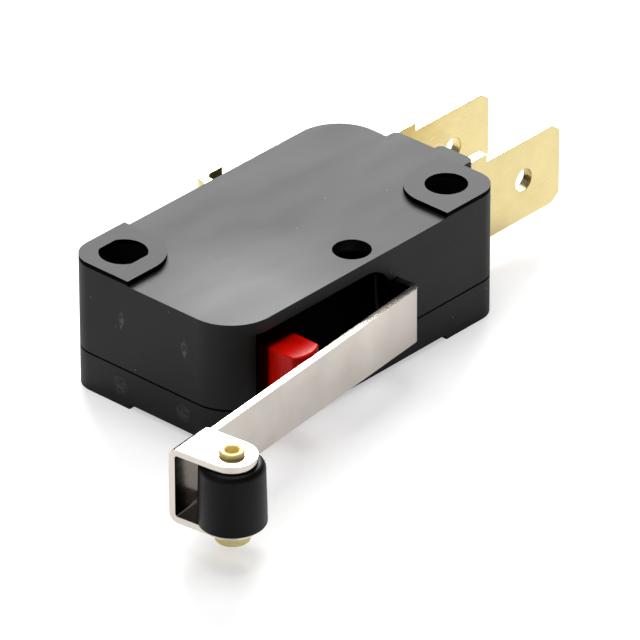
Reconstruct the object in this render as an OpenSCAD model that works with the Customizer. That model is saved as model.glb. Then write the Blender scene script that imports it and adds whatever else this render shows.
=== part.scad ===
// Snap-action lever micro switch with a hinge roller lever, lying on its cover.
// X runs towards the blade terminals, -Y is the plunger side, +Z is the case side.
// The origin is the axis of the round mounting hole, in the plane the switch seats on.

/* [Housing] */
// Length of the housing, without its terminal barriers
housing_l = 27.8; // [27.4:0.1:28.4]
// Width of the housing, from the plunger face to the back
housing_w = 15.9; // [15.7:0.1:16.5]
// Thickness over both pairs of seating bosses
housing_t = 10.3; // [10:0.1:10.8]
// Radius of the two wide corners
wide_corner_r = 3.5; // [2.5:0.1:4]
// Radius of the two tight corners, which hold the mounting holes
tight_corner_r = 2; // [1:0.1:2.4]
// Thickness of the outer walls, the cover's floor and the case's roof
wall = 1; // [0.8:0.05:1.2]
// Height of the joint between the cover and the case
parting_z = 3.1; // [2.7:0.05:3.2]
// How far each seating boss stands out of its face
boss_step = 0.4; // [0.2:0.05:0.6]
// Radius of the seating bosses round the mounting holes
boss_r = 3.05; // [2.8:0.05:3.2]

/* [Mounting holes] */
// Diameter of the round mounting hole
hole_d = 3.1; // [2.9:0.05:3.2]
// Diameter of the round ends of the flattened mounting hole
flat_hole_d = 3.5; // [3.3:0.05:3.7]
// Hole distance along the housing
hole_pitch_x = 22.2; // [22:0.1:22.4]
// Hole distance across the housing
hole_pitch_y = 10.3; // [10.1:0.1:10.5]
// Distance of each hole's axis from its two nearest faces
hole_inset = 2.8; // [2.6:0.05:2.9]

/* [Front recess and core hole] */
// Depth of the recess behind the lever
recess_depth = 1.8; // [1.2:0.1:2]
// Thickness of the lip over the recess
lip_t = 1; // [0.8:0.1:1.2]
// Height of the recess floor above the seating plane
recess_floor_z = 2.5; // [2.3:0.05:2.6]
// Radius of the recess's upper corner at the hinge end
recess_corner_r = 2.6; // [1.5:0.1:2.8]
// Radius of the rounded edge at the plunger end of the recess
recess_edge_r = 1.2; // [0.6:0.1:1.3]
// Diameter of the core hole in the case's roof
core_hole_d = 2.8; // [2.2:0.1:2.9]
// Depth of the core hole
core_hole_depth = 3.5; // [2.5:0.1:4]

/* [Plunger] */
// Distance of the plunger's middle from the housing's plunger end
plunger_x = 4.75; // [4.65:0.05:4.85]
// Width of the plunger along the housing
plunger_w = 2.7; // [2.4:0.05:2.8]
// Height of the plunger
plunger_h = 4.8; // [4.4:0.1:5]
// How far the plunger stands out of the housing when free
plunger_out = 2.72; // [2.6:0.01:2.74]
// Radius of the plunger's tip
plunger_tip_r = 2.2; // [1.5:0.1:2.6]
// How far the plunger's collar is wider than its stem on each side
collar_step = 0.65; // [0.5:0.05:0.8]
// Thickness of the collar
collar_t = 1; // [0.8:0.1:1.2]
// Travel of the plunger from free to its limit
plunger_travel = 1.52; // [1.4:0.01:1.55]

/* [Lever] */
// Thickness of the lever's stainless strip
lever_t = 0.5; // [0.4:0.05:0.55]
// Width of the strip
lever_w = 4.3; // [4:0.1:4.7]
// Angle of the free lever away from the housing
lever_angle = 6.3; // [6.1:0.05:6.5]
// Distance from the hinge corner to the roller's axis along the strip
roller_reach = 26.9; // [22:0.1:30]
// Distance from the strip's outer face to the roller's axis
roller_drop = 3.5; // [3.2:0.1:4.4]
// Width of the two ears that hold the roller pin
ear_w = 3.8; // [3:0.1:4.4]
// Distance over the outer faces of the ears
fork_w = 6; // [5.8:0.05:6.4]
// Outer radius of the bends
bend_r = 0.7; // [0.6:0.05:0.9]
// Radius of the bead on the lever's tail
bead_r = 0.55; // [0.45:0.05:0.6]

/* [Roller and pin] */
// Diameter of the roller
roller_d = 4.8; // [4:0.1:5.2]
// Length of the roller
roller_l = 4.8; // [4.4:0.05:4.9]
// Rounding of the roller's rims
roller_rim_r = 0.4; // [0.2:0.05:0.6]
// Diameter of the hollow roller pin
pin_d = 1.4; // [1.2:0.05:1.6]
// Diameter of the hole through the pin
pin_hole_d = 0.9; // [0.6:0.05:1]
// Diameter of the pin's rolled end
pin_rolled_d = 1.8; // [1.7:0.05:2]
// Diameter of the pin's flat head
pin_head_d = 2.5; // [2.2:0.05:3]
// Height of the pin's rolled end above the ear
pin_rolled_h = 0.35; // [0.2:0.05:0.5]
// Thickness of the pin's flat head
pin_head_h = 0.45; // [0.3:0.05:0.6]

/* [Terminals] */
// Width of the blade terminals
blade_w = 6.35; // [6:0.05:6.4]
// Thickness of the blade terminals
blade_t = 0.8; // [0.75:0.05:0.85]
// How far the end terminals stand out of the housing
blade_out = 12; // [10:0.1:13]
// Width of the terminals' shoulders
shoulder_w = 7.6; // [7.4:0.1:8.2]
// How far the shoulders stand out of the housing
shoulder_out = 4.1; // [2.5:0.1:4.6]
// Diameter of the hole in each blade
blade_hole_d = 1.75; // [1.5:0.05:2]
// Distance from a blade's tip to its hole
blade_hole_inset = 3.9; // [3.2:0.1:4.2]
// Distance of the near blade's middle from the plunger face
closed_blade_y = 5.4; // [5.4:0.05:5.6]
// Distance of the far blade's middle from the plunger face
open_blade_y = 12.2; // [12:0.05:12.4]
// Distance of the common terminal's root from the plunger end
common_x = 15; // [14.6:0.1:15.4]
// Distance from the housing's back to the outer face of the common blade
common_out = 1.95; // [1.9:0.05:2.2]
// Length of the common blade along the housing
common_l = 10.5; // [9:0.1:12]

/* [Snap mechanism] */
// Gap between the moving contact and the open contact
contact_gap = 0.9; // [0.6:0.05:1]
// Distance of the contacts from the plunger end
contact_x = 20.8; // [20.4:0.1:21]
// Diameter of the contact heads
contact_d = 2.8; // [2.2:0.1:3]
// Thickness of a contact head
contact_h = 0.65; // [0.5:0.05:0.7]
// Radius of the contact heads' domes
contact_dome_r = 4; // [3:0.5:8]
// Diameter of the contact rivets' shanks
shank_d = 1.4; // [1.2:0.1:1.6]
// Thickness of the contact arm
arm_t = 0.4; // [0.3:0.05:0.45]
// Width of the contact arm and the rocker
arm_w = 4; // [3.6:0.1:4.2]
// Distance of the arm's pivot from the plunger end
arm_pivot_x = 9.5; // [9.3:0.1:9.7]
// Thickness of the rocker
rocker_t = 0.5; // [0.4:0.05:0.55]
// Distance of the rocker's pivot from the plunger end
rocker_pivot_x = 12.5; // [12.3:0.1:12.8]
// Distance of the rocker's pivot from the plunger face
rocker_pivot_y = 8.8; // [8.7:0.05:9]
// Diameter of the pivot pins of the arm and the rocker
trunnion_d = 0.6; // [0.5:0.05:0.65]
// Outer diameter of the spring's coil
spring_d = 1.55; // [1.4:0.05:1.6]
// Diameter of the spring's wire
spring_wire = 0.24; // [0.2:0.02:0.28]
// Number of turns of the spring
spring_turns = 14; // [10:1:16]
// Diameter of the bars that the spring's eyes hook on
spring_bar_d = 0.44; // [0.36:0.02:0.48]

/* [Clearances] */
// Gap round pieces that only lie in their seats
seat_gap = 0.05; // [0.03:0.01:0.08]
// Gap round pieces that slide or swing in the housing
slide_gap = 0.08; // [0.05:0.01:0.1]
// Radial gap between the roller and its pin
pin_gap = 0.06; // [0.03:0.01:0.08]
// Gap between the plunger and what it touches
touch_gap = 0.06; // [0.05:0.01:0.1]

/* [Hidden] */
$fn = 48;
eps = 0.01;
mid_z = housing_t / 2;
top_z = housing_t - boss_step;
roof_z = top_z - wall;
floor_z = boss_step + wall;
round_hole = [hole_inset + hole_pitch_x, hole_inset];
flat_hole = [hole_inset, hole_inset + hole_pitch_y];
hole_wall = 1;
through = housing_w + 2 * wall;

// Lever: its corner, hinge axis and swing
hinge_x = 16.4;
hinge_y = 1.65;
leg_l = 3.65;
lever_swing = plunger_travel / (hinge_x - plunger_x) * 180 / PI;
bend_in = bend_r - lever_t;
ear_r = ear_w / 2;

// Recess seen from the front
recess_left = plunger_x - plunger_w / 2 - lever_t;
recess_right = hinge_x - lever_t / 2;
recess_top_z = top_z - lip_t;

// Chamber walls seen from above
chamber_front = recess_depth + 1.4;
hinge_block = [hinge_x - 4.8, hinge_x + 1.6];
hinge_block_y = 4.3;
core_hole = [hinge_x - 2.2, 2];

// Contacts and pivots, seen from above
closed_face_y = closed_blade_y + blade_t / 2 + contact_h;
arm_y = closed_face_y + touch_gap / 2 + contact_h + arm_t / 2;
open_face_y = arm_y + arm_t / 2 + contact_h + contact_gap + touch_gap;
arm_pivot = [arm_pivot_x, arm_y];
rocker_pivot = [rocker_pivot_x, rocker_pivot_y];
spring_near = [arm_pivot_x - 1.5, rocker_pivot_y - 1.1];
spring_far = [contact_x - 2.9, arm_y];
rivet_tail_r = shank_d / 2 + 0.35;
rib_t = 0.5;
slot_w = spring_d + 0.35;
trunnion_r = trunnion_d / 2;
stirrup_w = blade_w;
stirrup_y = rocker_pivot_y + 3.8;

// Rocker and plunger
rocker_pad_y = 6.4;
plunger_nose_y = rocker_pad_y - rocker_t / 2 - 2 * touch_gap;
nose_r = 0.7;

// Barriers on the terminal end: [front, back, how far out]
barriers = [[4.1, 7.3, 1.65], [6.5, 11, 1]];
barrier_r = 0.5;

// Puts the housing's own coordinates into the frame of the round mounting hole
module placed() {
    translate([-round_hole.x, -round_hole.y, 0])
        children();
}

// Material to take off one corner of a rectangle, for a round of radius r
module corner_cut(at, sx, sy, r) {
    translate(at)
        difference() {
            translate([sx > 0 ? -1 : -r, sy > 0 ? -1 : -r])
                square(r + 1);
            translate([sx * r, sy * r])
                circle(r, $fn = 96);
        }
}

// Outline of the housing seen from above, drawn in by the given distance
module housing_outline(inset = 0) {
    difference() {
        translate([inset, inset])
            square([housing_l - 2 * inset, housing_w - 2 * inset]);
        corner_cut([inset, inset], 1, 1, wide_corner_r - inset);
        corner_cut([housing_l - inset, housing_w - inset], -1, -1, wide_corner_r - inset);
        corner_cut([inset, housing_w - inset], 1, -1, max(tight_corner_r - inset, 0.2));
        corner_cut([housing_l - inset, inset], -1, 1, max(tight_corner_r - inset, 0.2));
    }
}

// Barrier ledges beside the end terminals
module barrier_outline() {
    for (b = barriers)
        difference() {
            translate([housing_l - wall, b[0]])
                square([wall + b[2], b[1] - b[0]]);
            corner_cut([housing_l + b[2], b[0]], -1, 1, barrier_r);
            corner_cut([housing_l + b[2], b[1]], -1, -1, barrier_r);
        }
}

// Seating boss: the corner of the housing within a square whose inner corner is round
module boss_outline(hole, sx, sy) {
    intersection() {
        housing_outline();
        union() {
            translate(hole)
                circle(boss_r, $fn = 96);
            translate([sx > 0 ? hole.x : hole.x - 2 * boss_r, hole.y - boss_r])
                square([2 * boss_r, 2 * boss_r]);
            translate([hole.x - boss_r, sy > 0 ? hole.y : hole.y - 2 * boss_r])
                square([2 * boss_r, 2 * boss_r]);
        }
    }
}

// Both seating bosses, on the two corners with mounting holes
module boss_outlines() {
    boss_outline(round_hole, 1, -1);
    boss_outline(flat_hole, -1, 1);
}

// Mounting holes through the case and the cover
module mounting_holes() {
    translate([round_hole.x, round_hole.y, -1])
        cylinder(d = hole_d, h = housing_t + 2, $fn = 96);
    translate([flat_hole.x, flat_hole.y, -1])
        linear_extrude(housing_t + 2)
            intersection() {
                circle(d = flat_hole_d, $fn = 96);
                square([2 * flat_hole_d, hole_d], center = true);
            }
}

// Chamber for the mechanism seen from above, clear of the holes and the hinge block
module chamber_outline() {
    difference() {
        intersection() {
            housing_outline(wall);
            translate([0, chamber_front])
                square([housing_l, housing_w]);
        }
        translate([hinge_block[0], 0])
            square([hinge_block[1] - hinge_block[0], hinge_block_y]);
        translate([round_hole.x - hole_d / 2 - hole_wall, 0])
            square([2 * boss_r, closed_blade_y - blade_t / 2 - seat_gap]);
        translate([0, flat_hole.y - hole_d / 2 - hole_wall])
            square([flat_hole.x + flat_hole_d / 2 + hole_wall, housing_w]);
        translate([contact_x + rivet_tail_r + seat_gap, open_face_y + contact_h + blade_t + seat_gap])
            square([rib_t, housing_w]);
    }
}

// Recess in the plunger face: round edge by the plunger, round upper corner by the hinge
module front_recess() {
    intersection() {
        linear_extrude(housing_t)
            difference() {
                translate([recess_left - recess_edge_r, -1])
                    square([recess_right - recess_left + recess_edge_r, recess_depth + 1]);
                translate([recess_left - recess_edge_r, recess_edge_r])
                    circle(recess_edge_r, $fn = 96);
                translate([recess_left - 2 * recess_edge_r, recess_edge_r])
                    square([2 * recess_edge_r, recess_depth]);
            }
        translate([0, housing_w, 0])
            rotate([90, 0, 0])
                linear_extrude(2 * housing_w)
                    difference() {
                        translate([0, recess_floor_z])
                            square([recess_right, recess_top_z - recess_floor_z]);
                        corner_cut([recess_right, recess_top_z], -1, -1, recess_corner_r);
                        corner_cut([recess_right, recess_floor_z], -1, 1, 0.4);
                    }
    }
}

// Slit for the lever's leg, and the round pocket that its bead turns in
module lever_pocket() {
    half = lever_t / 2 + slide_gap;
    lean = (hinge_y + 0.5) * tan(lever_angle);
    translate([0, 0, mid_z - lever_w / 2 - slide_gap])
        linear_extrude(lever_w + 2 * slide_gap) {
            translate([hinge_x, hinge_y])
                circle(bead_r + slide_gap);
            polygon([
                [hinge_x - half - 0.2, -0.5],
                [hinge_x + half + lean, -0.5],
                [hinge_x + half, hinge_y],
                [hinge_x - half, hinge_y]
            ]);
        }
}

// Guide for the plunger's stem through the front wall
module plunger_guide() {
    translate([plunger_x - plunger_w / 2 - slide_gap, -1, mid_z - plunger_h / 2 - slide_gap])
        cube([plunger_w + 2 * slide_gap, chamber_front + 2, plunger_h + 2 * slide_gap]);
}

// Slots where the terminals leave the housing
module terminal_slots() {
    slot_h = blade_w + 2 * seat_gap;
    slot_t = blade_t + 2 * seat_gap;
    for (y = [closed_blade_y, open_blade_y])
        translate([housing_l - 2 * wall, y - slot_t / 2, mid_z - slot_h / 2])
            cube([2 * wall + 3, slot_t, slot_h]);
    translate([common_x - slot_t / 2, housing_w - 2 * wall, mid_z - slot_h / 2])
        cube([slot_t, 2 * wall + 1, slot_h]);
}

// Everything that is cut alike out of the case and the cover
module shared_cuts() {
    mounting_holes();
    front_recess();
    lever_pocket();
    plunger_guide();
    terminal_slots();
}

// Case: the deep upper half, with roof, side walls and lip over the recess
module case() {
    color("#2b2c2f")
        difference() {
            union() {
                translate([0, 0, parting_z])
                    linear_extrude(top_z - parting_z) {
                        housing_outline();
                        barrier_outline();
                    }
                translate([0, 0, top_z - eps])
                    linear_extrude(boss_step + eps)
                        boss_outlines();
            }
            translate([0, 0, parting_z - 1])
                linear_extrude(roof_z - parting_z + 1)
                    chamber_outline();
            translate([core_hole.x, core_hole.y, top_z - core_hole_depth])
                cylinder(d = core_hole_d, h = core_hole_depth + 1);
            shared_cuts();
        }
}

// Cover: the shallow lower half that closes the chamber
module cover() {
    color("#2b2c2f")
        difference() {
            union() {
                translate([0, 0, boss_step])
                    linear_extrude(parting_z - boss_step) {
                        housing_outline();
                        barrier_outline();
                    }
                linear_extrude(boss_step + eps)
                    boss_outlines();
            }
            translate([0, 0, floor_z])
                linear_extrude(parting_z)
                    chamber_outline();
            shared_cuts();
        }
}

// Plunger: guided stem with a rounded tip, collar behind the front wall and round nose
module plunger() {
    collar_y = chamber_front + seat_gap;
    nose_w = 2 * nose_r;
    color("#d8270f") {
        translate([0, 0, mid_z - plunger_h / 2])
            linear_extrude(plunger_h)
                union() {
                    intersection() {
                        translate([plunger_x - plunger_w / 2, -plunger_out])
                            square([plunger_w, plunger_out + collar_y + collar_t]);
                        union() {
                            translate([plunger_x, plunger_tip_r - plunger_out])
                                circle(plunger_tip_r, $fn = 96);
                            translate([0, plunger_tip_r - plunger_out])
                                square([2 * plunger_x, housing_w]);
                        }
                    }
                    translate([plunger_x - nose_r, collar_y])
                        square([nose_w, plunger_nose_y - nose_r - collar_y]);
                    translate([plunger_x, plunger_nose_y - nose_r])
                        circle(nose_r);
                }
        translate([plunger_x - plunger_w / 2 - collar_step, collar_y, mid_z - plunger_h / 2 - collar_step])
            cube([plunger_w + 2 * collar_step, collar_t, plunger_h + 2 * collar_step]);
    }
}

// Lever's own axes: origin at its hinge corner, X along the strip to the hinge, Y along the leg
module lever_frame() {
    translate([hinge_x, hinge_y, 0])
        rotate([0, 0, lever_angle])
            translate([lever_t / 2, -leg_l, 0])
                children();
}

// Lever: strip, leg with its bead, and a fork with two round ears for the pin
module lever() {
    fork_l = roller_reach + ear_r;
    strip_l = roller_reach - ear_r + eps;
    ear_l = roller_drop + ear_r;
    color("#c9c5bb")
        lever_frame() {
            // Strip and leg seen from above, with their bend
            translate([0, 0, mid_z - lever_w / 2])
                linear_extrude(lever_w) {
                    difference() {
                        union() {
                            translate([-strip_l, 0])
                                square([strip_l, lever_t]);
                            translate([-lever_t, 0])
                                square([lever_t, leg_l]);
                            translate([-bend_r, 0])
                                square([bend_r, bend_r]);
                        }
                        corner_cut([0, 0], -1, 1, bend_r);
                        translate([-bend_r, bend_r])
                            circle(bend_in);
                    }
                    translate([-lever_t / 2, leg_l])
                        circle(bead_r);
                }
            // Fork: a folded channel, trimmed to the outline of the ears
            difference() {
                intersection() {
                    translate([-fork_l - 1, 0, 0])
                        rotate([90, 0, 90])
                            linear_extrude(2 * ear_r + 2)
                                fork_section();
                    linear_extrude(housing_t)
                        union() {
                            translate([-fork_l, -roller_drop])
                                square([2 * ear_r, roller_drop + lever_t]);
                            translate([-roller_reach, -roller_drop])
                                circle(ear_r, $fn = 96);
                        }
                }
                translate([-roller_reach, -roller_drop, 0])
                    cylinder(d = pin_d + 2 * eps, h = housing_t);
            }
        }
}

// Section of the fork across the strip: a channel with its open side away from the housing
module fork_section() {
    depth = roller_drop + ear_r + lever_t;
    difference() {
        translate([lever_t - depth, mid_z - fork_w / 2])
            square([depth, fork_w]);
        translate([-depth, mid_z - fork_w / 2 + lever_t])
            difference() {
                square([depth, fork_w - 2 * lever_t]);
                corner_cut([depth, 0], -1, 1, bend_in);
                corner_cut([depth, fork_w - 2 * lever_t], -1, -1, bend_in);
            }
        corner_cut([lever_t, mid_z - fork_w / 2], -1, 1, bend_r);
        corner_cut([lever_t, mid_z + fork_w / 2], -1, -1, bend_r);
    }
}

// Places a turned piece on the roller's axis
module on_roller_axis() {
    lever_frame()
        translate([-roller_reach, -roller_drop, 0])
            children();
}

// Roller: plain plastic roller with rounded rims
module roller() {
    bore_r = pin_d / 2 + pin_gap;
    color("#232325")
        on_roller_axis()
            translate([0, 0, mid_z - roller_l / 2])
                rotate_extrude($fn = 96)
                    difference() {
                        translate([bore_r, 0])
                            square([roller_d / 2 - bore_r, roller_l]);
                        corner_cut([roller_d / 2, 0], -1, 1, roller_rim_r);
                        corner_cut([roller_d / 2, roller_l], -1, -1, roller_rim_r);
                    }
}

// Roller pin: hollow rivet with a flat head below and a rolled end above
module roller_pin() {
    low_z = mid_z - fork_w / 2;
    color("#d8b13c")
        on_roller_axis()
            translate([0, 0, low_z])
                rotate_extrude($fn = 96)
                    difference() {
                        union() {
                            translate([0, -pin_head_h])
                                square([pin_head_d / 2, pin_head_h]);
                            translate([0, -pin_head_h])
                                square([pin_d / 2, fork_w + pin_head_h + pin_rolled_h]);
                            translate([0, fork_w])
                                square([pin_rolled_d / 2, pin_rolled_h]);
                        }
                        translate([0, -pin_head_h - 1])
                            square([pin_hole_d / 2, fork_w + 4]);
                        corner_cut([pin_rolled_d / 2, fork_w + pin_rolled_h], -1, -1, 0.25);
                        corner_cut([pin_head_d / 2, -pin_head_h], -1, 1, 0.2);
                    }
}

// Blade seen from the side: x from the root to the tip, z about the blade's middle
module blade_outline(root, shoulder_from, shoulder_to, tip) {
    chamfer_l = 0.85;
    chamfer_w = 0.6;
    difference() {
        union() {
            translate([shoulder_from, -shoulder_w / 2])
                square([shoulder_to - shoulder_from, shoulder_w]);
            polygon([
                [root, -blade_w / 2],
                [tip - chamfer_l, -blade_w / 2],
                [tip, -blade_w / 2 + chamfer_w],
                [tip, blade_w / 2 - chamfer_w],
                [tip - chamfer_l, blade_w / 2],
                [root, blade_w / 2]
            ]);
        }
        translate([tip - blade_hole_inset, 0])
            circle(d = blade_hole_d);
    }
}

// Sheet of the given thickness along a line from a to b, seen from above, with round ends
module sheet_line(a, b, t) {
    length = norm(b - a);
    translate(a)
        rotate(atan2(b.y - a.y, b.x - a.x)) {
            translate([0, -t / 2])
                square([length, t]);
            circle(d = t);
            translate([length, 0])
                circle(d = t);
        }
}

// Turns an outline in x and z into a wall that stands across the housing
module upright() {
    translate([0, through, mid_z])
        rotate([90, 0, 0])
            linear_extrude(through)
                children();
}

// Hole for a contact's shank through a sheet that faces the moving contact
module shank_hole() {
    translate([contact_x, 0, mid_z])
        rotate([-90, 0, 0])
            cylinder(d = shank_d + 2 * eps, h = housing_w);
}

// Normally closed terminal: straight blade, seated on the wall of the round hole
module normally_closed_terminal() {
    inner = contact_x - contact_d / 2;
    color("#dcc078")
        difference() {
            translate([0, closed_blade_y + blade_t / 2, mid_z])
                rotate([90, 0, 0])
                    linear_extrude(blade_t)
                        blade_outline(inner, housing_l + barriers[0][2], housing_l + shoulder_out,
                            housing_l + blade_out);
            shank_hole();
        }
}

// Normally open terminal: blade that is offset inside the housing towards the moving contact
module normally_open_terminal() {
    inner = contact_x - contact_d / 2 + blade_t / 2;
    offset_y = open_face_y + contact_h + blade_t / 2;
    jog_from = contact_x + rivet_tail_r + blade_t;
    jog_to = housing_l - 2 * wall - blade_t / 2;
    tip = housing_l + blade_out;
    color("#dcc078")
        difference() {
            intersection() {
                linear_extrude(housing_t) {
                    sheet_line([inner, offset_y], [jog_from, offset_y], blade_t);
                    sheet_line([jog_from, offset_y], [jog_to, open_blade_y], blade_t);
                    translate([jog_to, open_blade_y - blade_t / 2])
                        square([tip - jog_to, blade_t]);
                    translate([jog_to, open_blade_y])
                        circle(d = blade_t);
                }
                upright()
                    blade_outline(0, housing_l, housing_l + shoulder_out, tip);
            }
            shank_hole();
        }
}

// Common terminal: blade bent along the back, root through the back wall, and a stirrup
// whose two cheeks carry the pivots of the contact arm and the rocker
module common_terminal() {
    bend = 1.4;
    centre_y = housing_w + common_out - blade_t / 2;
    arc_y = housing_w + common_out - bend;
    arc_x = common_x - blade_t / 2 + bend;
    tip = common_x + common_l;
    left = arm_pivot.x - 1;
    color("#dcc078") {
        // Blade and its bend outside the housing
        intersection() {
            linear_extrude(housing_t) {
                translate([arc_x, centre_y - blade_t / 2])
                    square([tip - arc_x, blade_t]);
                translate([common_x - blade_t / 2, housing_w])
                    square([blade_t, arc_y - housing_w]);
                intersection() {
                    translate([arc_x, arc_y])
                        difference() {
                            circle(bend);
                            circle(bend - blade_t);
                        }
                    translate([arc_x - bend, arc_y])
                        square(bend);
                }
            }
            upright()
                blade_outline(0, 0, common_x + shoulder_w / 3, tip);
        }
        // Root through the wall, then the back of the stirrup
        translate([common_x - blade_t / 2, stirrup_y - blade_t / 2, mid_z - blade_w / 2])
            cube([blade_t, housing_w - stirrup_y + blade_t / 2 + eps, blade_w]);
        translate([left, stirrup_y - blade_t / 2, mid_z - blade_w / 2])
            cube([common_x - left, blade_t, blade_w]);
        // Cheeks with a notch open to the right for the arm, and one open to the left for the rocker
        for (z = [mid_z - blade_w / 2, mid_z + blade_w / 2 - blade_t])
            translate([0, 0, z])
                linear_extrude(blade_t)
                    cheek_outline(left);
    }
}

// Cheek of the stirrup seen from above
module cheek_outline(left) {
    notch_r = trunnion_r + seat_gap;
    right = rocker_pivot.x + 1.1;
    difference() {
        union() {
            translate([left, rocker_pivot.y + 1.8])
                square([right - left, stirrup_y - rocker_pivot.y - 1.8]);
            translate([left, arm_pivot.y - 0.8])
                square([1.4, stirrup_y - arm_pivot.y]);
            translate([rocker_pivot.x - 0.4, rocker_pivot.y - 0.8])
                square([1.5, stirrup_y - rocker_pivot.y]);
        }
        translate(arm_pivot)
            circle(notch_r);
        translate([arm_pivot.x, arm_pivot.y - notch_r])
            square([2, 2 * notch_r]);
        translate(rocker_pivot)
            circle(notch_r);
        translate([rocker_pivot.x - 2, rocker_pivot.y - notch_r])
            square([2, 2 * notch_r]);
    }
}

// Contact rivet along +Y: shank from 0, a thin tail below it and a head above the sheet
module fixed_rivet(sheet_t) {
    tail_h = 0.25;
    rotate([-90, 0, 0])
        rotate_extrude() {
            translate([0, -tail_h])
                square([rivet_tail_r, tail_h]);
            translate([0, -tail_h])
                square([shank_d / 2, sheet_t + tail_h + eps]);
            contact_head(sheet_t);
        }
}

// Half section of a domed contact head that starts at the given height
module contact_head(from) {
    translate([0, from])
        intersection() {
            square([contact_d / 2, contact_h]);
            translate([0, contact_h - contact_dome_r])
                circle(contact_dome_r, $fn = 128);
        }
}

// Fixed contact on the normally closed terminal
module closed_contact() {
    color("#d6d7d9")
        translate([contact_x, closed_blade_y - blade_t / 2, mid_z])
            fixed_rivet(blade_t);
}

// Fixed contact on the normally open terminal
module open_contact() {
    color("#d6d7d9")
        translate([contact_x, open_face_y + contact_h + blade_t, mid_z])
            mirror([0, 1, 0])
                fixed_rivet(blade_t);
}

// Moving contact: one rivet with a head on both sides of the arm
module moving_contact() {
    color("#d6d7d9")
        translate([contact_x, arm_y, mid_z])
            rotate([-90, 0, 0])
                rotate_extrude() {
                    translate([0, -arm_t / 2 - eps])
                        square([shank_d / 2, arm_t + 2 * eps]);
                    contact_head(arm_t / 2);
                    mirror([0, 1])
                        contact_head(arm_t / 2);
                }
}

// Pivot pins at both edges of a forked sheet, reaching through the stirrup's cheeks
module trunnions(pivot) {
    pin_l = (blade_w - slot_w) / 2;
    for (z = [mid_z - blade_w / 2, mid_z + slot_w / 2])
        translate([pivot.x, pivot.y, z])
            cylinder(r = trunnion_r, h = pin_l);
}

// Contact arm: forked sheet from its pivot to the moving contact, with a bar for the spring
module contact_arm() {
    tip = contact_x + contact_d / 2 + 0.3;
    color("#b87a4b") {
        difference() {
            translate([arm_pivot.x, arm_y - arm_t / 2, mid_z - arm_w / 2])
                cube([tip - arm_pivot.x, arm_t, arm_w]);
            translate([arm_pivot.x - 1, arm_y - arm_t, mid_z - slot_w / 2])
                cube([spring_far.x + 0.9 - arm_pivot.x + 1, 2 * arm_t, slot_w]);
            shank_hole();
        }
        translate([spring_far.x, spring_far.y, mid_z - slot_w / 2 - eps])
            cylinder(d = spring_bar_d, h = slot_w + 2 * eps, $fn = 24);
        trunnions(arm_pivot);
    }
}

// Rocker: bent sheet from its pivot past the spring's bar to the pad over the plunger
module rocker() {
    bend_x = spring_near.x + 2.3;
    pad_x = plunger_x + 1.55;
    color("#c4bfb2") {
        difference() {
            translate([0, 0, mid_z - arm_w / 2])
                linear_extrude(arm_w) {
                    sheet_line(rocker_pivot, [bend_x, rocker_pivot.y], rocker_t);
                    sheet_line([bend_x, rocker_pivot.y], spring_near, rocker_t);
                    sheet_line(spring_near, [pad_x, rocker_pad_y], rocker_t);
                    sheet_line([pad_x, rocker_pad_y], [plunger_x - 0.9, rocker_pad_y], rocker_t);
                }
            translate([spring_near.x - 0.8, 0, mid_z - slot_w / 2])
                cube([rocker_pivot.x - spring_near.x + 2, housing_w, slot_w]);
        }
        translate([spring_near.x, spring_near.y, mid_z - slot_w / 2 - eps])
            cylinder(d = spring_bar_d, h = slot_w + 2 * eps, $fn = 24);
        trunnions(rocker_pivot);
    }
}

// Point of the spring's wire at t from 0 to 1, along X, with both ends led to the axis
function coil_r(t) = (spring_d - spring_wire) / 2 * min(1, t * 8, (1 - t) * 8);
function coil_point(t, length) = [
    length * t,
    coil_r(t) * cos(360 * spring_turns * t),
    coil_r(t) * sin(360 * spring_turns * t)
];

module snap_spring() {
    eye_r = 0.47;
    dir = spring_far - spring_near;
    length = norm(dir) - 2 * eye_r;
    steps = spring_turns * 10;
    color("#9fa3a8")
        translate([spring_near.x, spring_near.y, mid_z])
            rotate([0, 0, atan2(dir.y, dir.x)]) {
                translate([eye_r, 0, 0])
                    wire_sweep([for (i = [0:steps]) coil_point(i / steps, length)], spring_wire);
                for (x = [0, length + 2 * eye_r])
                    translate([x, 0, 0])
                        rotate_extrude($fn = 20)
                            translate([eye_r, 0])
                                circle(d = spring_wire, $fn = 8);
            }
}

// Round wire along a list of points, as one closed surface with six sides
module wire_sweep(path, d) {
    sides = 6;
    n = len(path);
    points = [
        for (i = [0:n - 1])
            let (
                along = path[min(i + 1, n - 1)] - path[max(i - 1, 0)],
                t = along / norm(along),
                u0 = cross(t, [0, 0.6, 0.8]),
                u = u0 / norm(u0),
                v = cross(t, u)
            )
            for (k = [0:sides - 1])
                path[i] + d / 2 * (u * cos(360 * k / sides) + v * sin(360 * k / sides))
    ];
    rings = [
        for (i = [0:n - 2])
            for (k = [0:sides - 1])
                let (k2 = (k + 1) % sides)
                [i * sides + k, (i + 1) * sides + k, (i + 1) * sides + k2, i * sides + k2]
    ];
    polyhedron(
        points,
        concat(rings, [[for (k = [0:sides - 1]) k]], [[for (k = [sides - 1:-1:0]) (n - 1) * sides + k]])
    );
}

placed() case();
placed() cover();
placed() plunger();
placed() lever();
placed() roller();
placed() roller_pin();
placed() common_terminal();
placed() normally_closed_terminal();
placed() normally_open_terminal();
placed() closed_contact();
placed() open_contact();
placed() moving_contact();
placed() contact_arm();
placed() rocker();
placed() snap_spring();
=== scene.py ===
"""Looks of a lever micro switch: satin black housing, red plunger, stainless roller lever and brass blades.

Run as a script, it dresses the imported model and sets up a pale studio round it. The sizes and colours that
a user would change are in the add-on's properties, and each operator makes one piece or one group of like
pieces. Lengths are in metres, and MM turns millimetres into them.
"""

import math

import bmesh
import bpy
import numpy as np
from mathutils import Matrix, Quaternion, Vector


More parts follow.
